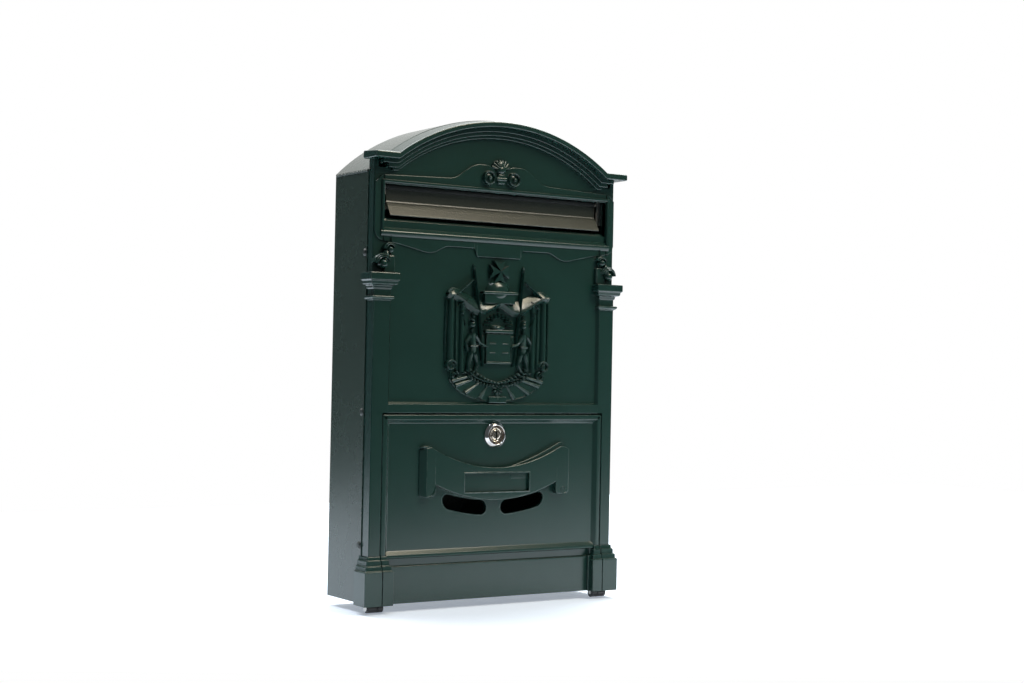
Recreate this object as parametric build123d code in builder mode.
"""Wall mailbox with a cast front: a cast frame with an arched cornice, a folded steel casing behind it,
a lifting letter flap, and a bottom-hinged door with a cam lock."""
from build123d import *
import os
from math import sqrt

os.makedirs("parts", exist_ok=True)

# Driving dimensions, mm. Heights are above the bottom edge of the casting and fronts are distances in
# front of the pilaster faces, so a negative front lies further back, towards the wall.
DEPTH = 68.4                # wall to the pilaster faces
BOTTOM = -194.0             # bottom edge of the casting, below the middle of the wall holes
HALF_WIDTH = 121.0          # pilasters' outer sides
PILASTER_IN = 105.5         # pilasters' inner sides
FIELD = -3.0                # recessed field of the casting
PLATE_BACK = -7.0           # back of the casting's plate
RETURN_BACK = -11.4         # back edge of the casting's side returns
DOOR_TOP = 154.4
DOOR_HALF = 110.0
DOOR_GAP = 0.6              # to each side of the door
RAIL_LOW = 155.6            # rail between the door and the panel
RAIL_HIGH = 163.0
SHEET = 1.2                 # steel sheet of the casing
CASE_HALF = 121.8
CASE_LOW = 1.0
CASE_TOP = 352.0            # where the roof starts
ROOF_RADIUS = 173.0
ROOF_CENTRE = 230.9
ARCH_CENTRE = 224.4         # centre of the cornice arcs
# Each cornice moulding: arc radius, height of its level ears, half width, front.
CORNICE = [(178.0, 367.5, 127.0, 10.0), (174.8, 363.0, 121.0, 9.0), (170.3, 359.5, 117.2, 6.0),
           (166.3, 355.8, 111.7, 2.6), (163.3, 353.3, 105.2, 0.0)]
SLOT_HALF = 112.0           # letter slot
SLOT_LOW = 312.0
SLOT_HIGH = 342.5
SLOT_RIM = 3.0
FLAP_HALF = 105.5
FLAP_AXIS = (12.0, 340.5)   # flap pivot: behind the pilaster faces, height
HINGE_AXIS = (5.5, -2.4)    # door pivot: behind the pilaster faces, height
HINGE_RADIUS = 3.9
PIN_RADIUS = 1.5
LOCK_HEIGHT = 137.3
SCREW_HEIGHTS = (48.0, 156.0, 286.0)
WALL_HOLE_RADIUS = 3.0
WALL_HOLES = (170.0, 276.0)     # spacing across and up

face = Plane(origin=(0, -DEPTH, BOTTOM), x_dir=(1, 0, 0), z_dir=(0, -1, 0))
section = Plane(origin=(0, -DEPTH, BOTTOM), x_dir=(0, 1, 0), z_dir=(1, 0, 0))


def bar(across, heights, fronts, mode=Mode.ADD):
    """Rectangular bar between two widths, two heights and two fronts, back first."""
    (left, right), (low, high), (back, front) = across, heights, fronts
    with Locations(((left + right) / 2, -DEPTH - (back + front) / 2, BOTTOM + (low + high) / 2)):
        Box(right - left, front - back, high - low, mode=mode)


def pair(across, heights, fronts, mode=Mode.ADD):
    """The same bar on the right and mirrored to the left."""
    bar(across, heights, fronts, mode)
    bar((-across[1], -across[0]), heights, fronts, mode)


def bore(x, height, radius, fronts, mode=Mode.SUBTRACT):
    """Round hole, or boss, with its axis from front to back."""
    with Locations(Location((x, -DEPTH - sum(fronts) / 2, BOTTOM + height), (90, 0, 0))):
        Cylinder(radius, fronts[1] - fronts[0], mode=mode)


def cross_bore(across, behind, height, radius, mode=Mode.SUBTRACT):
    """Round hole, or rod, with its axis from side to side."""
    with Locations(Location((sum(across) / 2, behind - DEPTH, BOTTOM + height), (0, 90, 0))):
        Cylinder(radius, across[1] - across[0], mode=mode)


def arched_area(radius, ear, half_width, low, centre=ARCH_CENTRE, mode=Mode.ADD):
    """Area under a round arch that ends in level ears."""
    reach = sqrt(radius**2 - (ear - centre)**2)
    with BuildLine() as outline:
        Polyline((-reach, ear), (-half_width, ear), (-half_width, low), (half_width, low), (half_width, ear),
                 (reach, ear))
        ThreePointArc((reach, ear), (0, centre + radius), (-reach, ear))
    make_face(outline.edges(), mode=mode)


def finish(piece, name):
    """Label one finished piece and write it."""
    piece.part.label = name
    export_step(piece.part, f"parts/{name}.step")


# Front frame: one casting with the cornice, pilasters, rail, slot rim and the legs beside the door.
with BuildPart() as front_frame:
    with BuildSketch(face.offset(PLATE_BACK)) as field:
        arched_area(166.3, 355.8, 120.5, RAIL_LOW)
    extrude(amount=FIELD - PLATE_BACK)
    for outer, inner in zip(CORNICE, CORNICE[1:]):
        with BuildSketch(face.offset(-9.0)) as moulding:
            arched_area(*outer[:3], 340)
            arched_area(inner[0], inner[1], outer[2] + 1, 339, mode=Mode.SUBTRACT)
        extrude(amount=outer[3] + 9.0)
    with BuildSketch(face.offset(PLATE_BACK)) as inner_fillet:
        arched_area(163.3, 353.3, 105.2, 345)
        arched_area(161.0, 351.0, 130, 344, mode=Mode.SUBTRACT)
    extrude(amount=FIELD / 2 - PLATE_BACK)
    with BuildSketch(face.offset(-12.0)) as roof_seat:
        arched_area(ROOF_RADIUS - SHEET - 0.1, 353.0, 119.0, 345, ROOF_CENTRE)
        arched_area(ROOF_RADIUS - SHEET - 4.0, 350.0, 130, 344, ROOF_CENTRE, mode=Mode.SUBTRACT)
    extrude(amount=12.0 + PLATE_BACK)
    # pilasters, with their side returns
    pair((PILASTER_IN, HALF_WIDTH), (RAIL_LOW, 257), (PLATE_BACK, 0))
    pair((DOOR_HALF + DOOR_GAP, HALF_WIDTH), (0, RAIL_LOW), (-4.0, 0))
    pair((117, HALF_WIDTH), (0, 269), (RETURN_BACK, 0))
    pair((117, 120.5), (260, 350), (RETURN_BACK, FIELD))
    bar((-PILASTER_IN, PILASTER_IN), (RAIL_LOW, RAIL_HIGH), (PLATE_BACK, 0))
    bar((-30, 30), (156, 160), (-16.3, PLATE_BACK))
    # capitals: half widths about the pilaster, heights and fronts of their stacked mouldings
    for inner, outer, low, high, front in ((104.0, 123.8, 246.8, 250.5, 1.6), (105.2, 122.3, 257, 259.6, 1.0),
                                           (102.5, 126, 259.6, 264, 4.5), (100.8, 127, 264, 269.2, 6.2)):
        pair((inner, outer), (low, high), (PLATE_BACK - 3, front))
    # scroll brackets over the capitals
    pair((101.5, 120.5), (269.2, 283), (PLATE_BACK, 1.5))
    pair((101.5, 110), (283, 292), (PLATE_BACK, 1.5))
    for side in (-1, 1):
        bore(side * 106.3, 289.2, 4.8, (PLATE_BACK, 3.8), Mode.ADD)
        bore(side * 114.7, 276.9, 4.6, (PLATE_BACK, 5.6), Mode.ADD)
    # base blocks beside the door, in steps that narrow upwards
    for inset, low, high in ((0, 0, 28), (1.6, 28, 32), (3.2, 32, 36.5), (4.6, 36.5, 39.5)):
        pair((DOOR_HALF + DOOR_GAP, 126.6 - inset), (low, high), (-4.0, 5.0 - inset))
        pair((117, 126.6 - inset), (low, high), (RETURN_BACK, 5.0 - inset))
        pair((CASE_HALF + 0.1, 126.6 - inset), (low, high), (-13.4, RETURN_BACK))
    # slot surround plate with its raised middle, the volutes on it, and the rim round the slot
    with BuildSketch(face.offset(PLATE_BACK)) as surround:
        with BuildLine() as surround_line:
            Polyline((-120.5, 300), (-120.5, 343), (-113, 348.5), (-48, 351.5))
            Spline((-48, 351.5), (-35, 361.5), (-22, 364.5), (-8, 362.5), tangents=((1, 0.05), (1, -0.3)))
            Line((-8, 362.5), (0, 362.5))
            Polyline((-120.5, 300), (-115, 296), (-98, 293.5))
            Spline((-98, 293.5), (-66, 287.5), (-50, 294), tangents=((1, -0.6), (1, 0.6)))
            Polyline((-50, 294), (-24, 294), (-22, 287), (0, 287))
            Line((0, 287), (0, 362.5))
        make_face()
        mirror(about=Plane.YZ)
    extrude(amount=FIELD + 1.5 - PLATE_BACK)
    rim = SLOT_HALF + SLOT_RIM
    bar((-rim, rim), (299, SLOT_HIGH + SLOT_RIM), (-10, 0))
    bar((-SLOT_HALF, SLOT_HALF), (SLOT_LOW, SLOT_HIGH), (-20, 5), Mode.SUBTRACT)
    with BuildSketch(section.offset(-SLOT_HALF)) as sill:
        with BuildLine() as sill_line:
            Polyline((-1, 303), (0, 303.5), (3.5, 307), (3.5, 313), (-1, 313), close=True)
        make_face()
    extrude(amount=2 * SLOT_HALF, mode=Mode.SUBTRACT)
    for side in (-1, 1):
        bore(side * 12.5, 354, 7.0, (PLATE_BACK, 1.5), Mode.ADD)
        bore(side * 12.5, 354, 2.6, (PLATE_BACK, 3.0), Mode.ADD)
    bar((-4, 4), (350, 358), (PLATE_BACK, 1.0))
    bore(0, 363.5, 7.0, (PLATE_BACK, 0.8), Mode.ADD)
    # lugs for the casing screws, with pilot holes
    for height in SCREW_HEIGHTS:
        pair((113, 120.4), (height - 6, height + 6), (-20, -4.0))
        for side in (-1, 1):
            cross_bore(sorted((side * 114, side * 121)), 14.8, height, 1.5)
    # pilot holes for the flap brackets and the hinge leaves
    for side in (-1, 1):
        for height in (327, 341):
            bore(side * 113.6, height, 1.1, (-10, -4))
        for height in (9, 19):
            bore(side * 113.8, height, 1.1, (-4, -1.5))
finish(front_frame, "front_frame")

# Crest badge: a separate relief casting on the panel, a shield under a canopy with two supporters.
with BuildPart() as crest_badge:
    with BuildSketch(face.offset(FIELD)) as mantle:
        with BuildLine() as mantle_line:
            Spline((0, 259), (-22, 262), (-49, 254), tangents=((-1, 0), (-0.7, -1)))
            Spline((-49, 254), (-43, 222), (-49, 190), tangents=((0.3, -1), (-0.2, -1)))
            ThreePointArc((-49, 190), (-28, 170), (0, 163.8))
            Line((0, 163.8), (0, 259))
        make_face()
        mirror(about=Plane.YZ)
    extrude(amount=2.2)
    with BuildSketch(face.offset(FIELD)) as dome:
        with Locations((0, 256)):
            Rectangle(32, 12)
        with Locations((0, 259)):
            Circle(12)
    extrude(amount=4.0)
    with BuildSketch(face.offset(FIELD)) as finial:
        with Locations((0, 275.5)):
            RegularPolygon(9.5, 4)
    extrude(amount=3.0)
    with BuildSketch(face.offset(FIELD)) as supporters:
        with Locations((-24, 207), (24, 207)):
            SlotOverall(52, 15, rotation=90)
        with Locations((0, 233)):
            Trapezoid(22, 16, 75)
    extrude(amount=4.6)
    with BuildSketch(face.offset(FIELD)) as shield:
        with BuildLine() as shield_line:
            Polyline((-12, 223), (12, 223), (12, 208))
            ThreePointArc((12, 208), (8.5, 200), (0, 196.5))
            ThreePointArc((0, 196.5), (-8.5, 200), (-12, 208))
            Line((-12, 208), (-12, 223))
        make_face()
    extrude(amount=5.4)
finish(crest_badge, "crest_badge")

# Casing wrap: one steel sheet folded to the two sides and the bottom, with drain holes.
with BuildPart() as casing_wrap:
    bar((-CASE_HALF, CASE_HALF), (CASE_LOW, CASE_TOP), (-DEPTH, RETURN_BACK - 0.1))
    inner_half = CASE_HALF - SHEET
    bar((-inner_half, inner_half), (CASE_LOW + SHEET, CASE_TOP + 1), (-DEPTH - 1, 0), Mode.SUBTRACT)
    for height in SCREW_HEIGHTS:
        cross_bore((-CASE_HALF - 1, CASE_HALF + 1), 14.8, height, 1.6)
    with Locations((0, -DEPTH / 2, BOTTOM + CASE_LOW)):
        with GridLocations(80, 20, 3, 1):
            Cylinder(2.5, 4, mode=Mode.SUBTRACT)
finish(casing_wrap, "casing_wrap")

# Roof sheet: the same steel rolled to an arc over the casing.
with BuildPart() as roof_sheet:
    with BuildSketch(face.offset(-DEPTH)) as roof_section:
        with Locations((0, ROOF_CENTRE)):
            Circle(ROOF_RADIUS)
            Circle(ROOF_RADIUS - SHEET, mode=Mode.SUBTRACT)
        with Locations((0, 380)):
            Rectangle(2 * CASE_HALF, 60, mode=Mode.INTERSECT)
    extrude(amount=DEPTH - 9.2)
finish(roof_sheet, "roof_sheet")

# Back plate: flat steel with the four wall holes.
with BuildPart() as back_plate:
    with BuildSketch(face.offset(-DEPTH)) as back_outline:
        arched_area(ROOF_RADIUS - SHEET - 0.1, 353.2, 120.5, CASE_LOW + SHEET + 0.1, ROOF_CENTRE)
        with Locations((0, -BOTTOM)):
            with GridLocations(*WALL_HOLES, 2, 2):
                Circle(WALL_HOLE_RADIUS, mode=Mode.SUBTRACT)
    extrude(amount=SHEET)
finish(back_plate, "back_plate")

# Casing screws: six round-headed screws through the casing sides into the casting's lugs.
with BuildPart() as casing_screws:
    for height in SCREW_HEIGHTS:
        for side in (-1, 1):
            cross_bore(sorted((side * 115, side * CASE_HALF)), 14.8, height, 1.45, Mode.ADD)
            with Locations(Location((side * CASE_HALF, 14.8 - DEPTH, BOTTOM + height), (0, side * 90, 0))):
                Cone(3.2, 1.9, 1.3, align=(Align.CENTER, Align.CENTER, Align.MIN))
finish(casing_screws, "casing_screws")

# Door: one casting with a raised border, a plinth, stepped base blocks and two viewing slots.
with BuildPart() as door_panel:
    bar((-DOOR_HALF, DOOR_HALF), (0, DOOR_TOP), (-6.6, -3.1))
    bar((-DOOR_HALF, DOOR_HALF), (150.3, DOOR_TOP), (-11.0, 0))
    pair((105.6, DOOR_HALF), (26, DOOR_TOP), (-11.0, 0))
    bar((-DOOR_HALF, DOOR_HALF), (37, 41), (-6.6, -0.6))
    bar((-DOOR_HALF, DOOR_HALF), (0, 30.5), (-6.6, -2.5))
    pair((98.4, DOOR_HALF), (0, 30.5), (-6.6, 0))
    for inset, low, high in ((0, 0, 28), (1.6, 28, 32), (3.2, 32, 36.5), (4.6, 36.5, 39.5)):
        pair((100 + inset, DOOR_HALF), (low, high), (-6.6, 5.0 - inset))
    with BuildSketch(face.offset(-12)) as view_slots:
        with BuildLine() as view_line:
            ThreePointArc((8, 82), (28.5, 84.4), (50, 89.2))
            Line((50, 89.2), (50, 77))
            ThreePointArc((50, 77), (28.5, 72), (8, 69.8))
            Line((8, 69.8), (8, 82))
        make_face()
        mirror(about=Plane.YZ)
    extrude(amount=12, mode=Mode.SUBTRACT)
    bore(0, LOCK_HEIGHT, 8.1, (-12, 0))
    for side in (-1, 1):
        for height in (9, 19):
            bore(side * 107.2, height, 1.1, (-6.6, -2.0))
finish(door_panel, "door_panel")

# Name scroll: a cast ribbon bonded to the door, with a recess for a name card.
with BuildPart() as name_scroll:
    with BuildSketch(face.offset(-3.1)) as ribbon:
        with BuildLine() as ribbon_line:
            ThreePointArc((-66, 128.5), (0, 110), (66, 128.5))
            Polyline((66, 128.5), (74, 127), (74, 88), (62, 86))
            Line((62, 86), (58, 96))
            ThreePointArc((58, 96), (0, 82.5), (-58, 96))
            Polyline((-58, 96), (-64, 86), (-74, 88), (-74, 127), (-66, 128.5))
        make_face()
    extrude(amount=5.4)
    pair((66, 74), (88, 127), (-3.1, 2.7))
    bar((-32.3, 32.3), (89.5, 105.3), (-0.4, 5), Mode.SUBTRACT)
finish(name_scroll, "name_scroll")

# Door hinges: on each side a leaf on the door and a leaf on the frame, with knuckles on one pin.
axis_behind, axis_height = HINGE_AXIS
for side, word in ((-1, "left"), (1, "right")):
    with BuildPart() as door_leaf:
        knuckle = sorted((side * 105.2, side * 110.0))
        cross_bore(knuckle, axis_behind, axis_height, HINGE_RADIUS, Mode.ADD)
        bar(knuckle, (-12, 12), (-20, 20), Mode.INTERSECT)
        bar(knuckle, (-0.15, 3), (-20, 20), Mode.SUBTRACT)
        bar(knuckle, (axis_height, 24), (-9.4, -6.7))
        cross_bore(knuckle, axis_behind, axis_height, PIN_RADIUS + 0.06)
        for height in (9, 19):
            bore(side * 107.2, height, 1.3, (-12, 0))
    finish(door_leaf, f"door_hinge_{word}")

    with BuildPart() as frame_leaf:
        knuckle = sorted((side * 110.6, side * 119.0))
        cross_bore(knuckle, axis_behind, axis_height, HINGE_RADIUS, Mode.ADD)
        bar(knuckle, (-0.15, 3), (-20, 20), Mode.SUBTRACT)
        bar(sorted((side * 110.9, side * 116.7)), (axis_height, 24), (-7.1, -4.1))
        cross_bore(knuckle, axis_behind, axis_height, PIN_RADIUS + 0.01)
        for height in (9, 19):
            bore(side * 113.8, height, 1.3, (-12, 0))
    finish(frame_leaf, f"frame_hinge_{word}")

    with BuildPart() as hinge_pin:
        cross_bore(sorted((side * 104.6, side * 119.2)), axis_behind, axis_height, PIN_RADIUS, Mode.ADD)
        cross_bore(sorted((side * 119.1, side * 120.2)), axis_behind, axis_height, 2.4, Mode.ADD)
    finish(hinge_pin, f"hinge_pin_{word}")


def screw_set(places, head_front, head_high, tip_front, radius):
    """Pan-headed screws driven forwards, heads on the inner side."""
    for x, height in places:
        bore(x, height, radius, (head_front, tip_front), Mode.ADD)
        bore(x, height, radius * 1.9, (head_front - head_high, head_front), Mode.ADD)


# Hinge screws: two through each leaf, from inside.
with BuildPart() as door_hinge_screws:
    screw_set([(side * 107.2, height) for side in (-1, 1) for height in (9, 19)], -9.4, 1.2, -2.4, 1.05)
finish(door_hinge_screws, "door_hinge_screws")

with BuildPart() as frame_hinge_screws:
    screw_set([(side * 113.8, height) for side in (-1, 1) for height in (9, 19)], -7.1, 1.2, -1.9, 1.05)
finish(frame_hinge_screws, "frame_hinge_screws")

# Lock: a flanged housing through the door, held by a washer and a nut from inside.
with BuildPart() as lock_housing:
    bore(0, LOCK_HEIGHT, 8.0, (-16.2, -3.1), Mode.ADD)
    bore(0, LOCK_HEIGHT, 10.5, (-3.1, 0.2), Mode.ADD)
    fillet(lock_housing.faces().sort_by(Axis.Y)[0].edges(), 0.9)
    bore(0, LOCK_HEIGHT, 8.4, (-0.9, 1))
    bore(0, LOCK_HEIGHT, 6.06, (-20, 1))
finish(lock_housing, "lock_housing")

with BuildPart() as lock_washer:
    bore(0, LOCK_HEIGHT, 11.0, (-7.6, -6.7), Mode.ADD)
    bore(0, LOCK_HEIGHT, 8.05, (-8, -6))
finish(lock_washer, "lock_washer")

with BuildPart() as lock_nut:
    with BuildSketch(face.offset(-11.0)) as nut_outline:
        with Locations((0, LOCK_HEIGHT)):
            RegularPolygon(11.4, 6)
            Circle(8.03, mode=Mode.SUBTRACT)
    extrude(amount=3.3)
finish(lock_nut, "lock_nut")

# Lock plug: the turning core, with its keyway in front and a square tail behind.
with BuildPart() as lock_plug:
    bore(0, LOCK_HEIGHT, 6.0, (-16.6, -0.8), Mode.ADD)
    bar((-2.5, 2.5), (LOCK_HEIGHT - 2.5, LOCK_HEIGHT + 2.5), (-19.2, -16.6))
    bar((-0.7, 0.7), (LOCK_HEIGHT - 3.6, LOCK_HEIGHT + 3.6), (-9, 0), Mode.SUBTRACT)
    bore(0, LOCK_HEIGHT, 1.25, (-21, -15))
finish(lock_plug, "lock_plug")

# Lock cam: the tongue on the tail, turned sideways here so that the door can open.
with BuildPart() as lock_cam:
    with BuildSketch(face.offset(-18.8)) as cam_outline:
        with Locations((0, LOCK_HEIGHT)):
            Circle(6.0)
        with Locations((12, LOCK_HEIGHT)):
            Rectangle(24, 12)
        with Locations((0, LOCK_HEIGHT)):
            Rectangle(5.1, 5.1, mode=Mode.SUBTRACT)
    extrude(amount=1.9)
    fillet(lock_cam.edges().filter_by(Axis.Y).group_by(Axis.X)[-1], 4.0)
finish(lock_cam, "lock_cam")

with BuildPart() as cam_screw:
    screw_set([(0, LOCK_HEIGHT)], -19.3, 1.6, -15.5, 1.2)
    bore(0, LOCK_HEIGHT, 4.2, (-20.0, -19.3), Mode.ADD)
finish(cam_screw, "cam_screw")

# Letter flap: bent sheet with a rolled eye along its top and a lip that flares forwards.
behind, height = FLAP_AXIS
with BuildPart() as slot_flap:
    with BuildSketch(section.offset(-FLAP_HALF)) as flap_section:
        with BuildLine() as flap_line:
            Polyline((10.5, height), (10.5, 328.4), (9.9, 326.6), (2.6, 316.8), (3.6, 316.0), (11.0, 326.0),
                     (11.7, 328.2), (11.7, height), close=True)
        make_face()
        with Locations((behind, height)):
            Circle(2.6)
            Circle(PIN_RADIUS + 0.02, mode=Mode.SUBTRACT)
    extrude(amount=2 * FLAP_HALF)
finish(slot_flap, "slot_flap")

with BuildPart() as flap_rod:
    cross_bore((-109, 109), behind, height, PIN_RADIUS, Mode.ADD)
finish(flap_rod, "flap_rod")

# Flap brackets: a plate on the back of the slot rim, a cheek that carries the rod, and a stop tab.
for side, word in ((-1, "left"), (1, "right")):
    with BuildPart() as flap_bracket:
        bar(sorted((side * 109, side * 116.6)), (322, 346), (-11.6, -10.1))
        bar(sorted((side * 107, side * 109)), (334, 342), (-16, -9.0))
        bar(sorted((side * 107, side * 109)), (342, 346), (-16, -10.1))
        bar(sorted((side * 107, side * 109)), (322, 334), (-13.1, -10.1))
        bar(sorted((side * 101, side * 107)), (322, 327), (-13.1, -12.1))
        cross_bore(sorted((side * 106.5, side * 109)), behind, height, PIN_RADIUS + 0.05)
        for screw_height in (327, 341):
            bore(side * 113.6, screw_height, 1.2, (-12, -10))
    finish(flap_bracket, f"flap_bracket_{word}")

with BuildPart() as flap_bracket_screws:
    screw_set([(side * 113.6, screw_height) for side in (-1, 1) for screw_height in (327, 341)],
              -11.6, 1.0, -5.5, 1.05)
finish(flap_bracket_screws, "flap_bracket_screws")
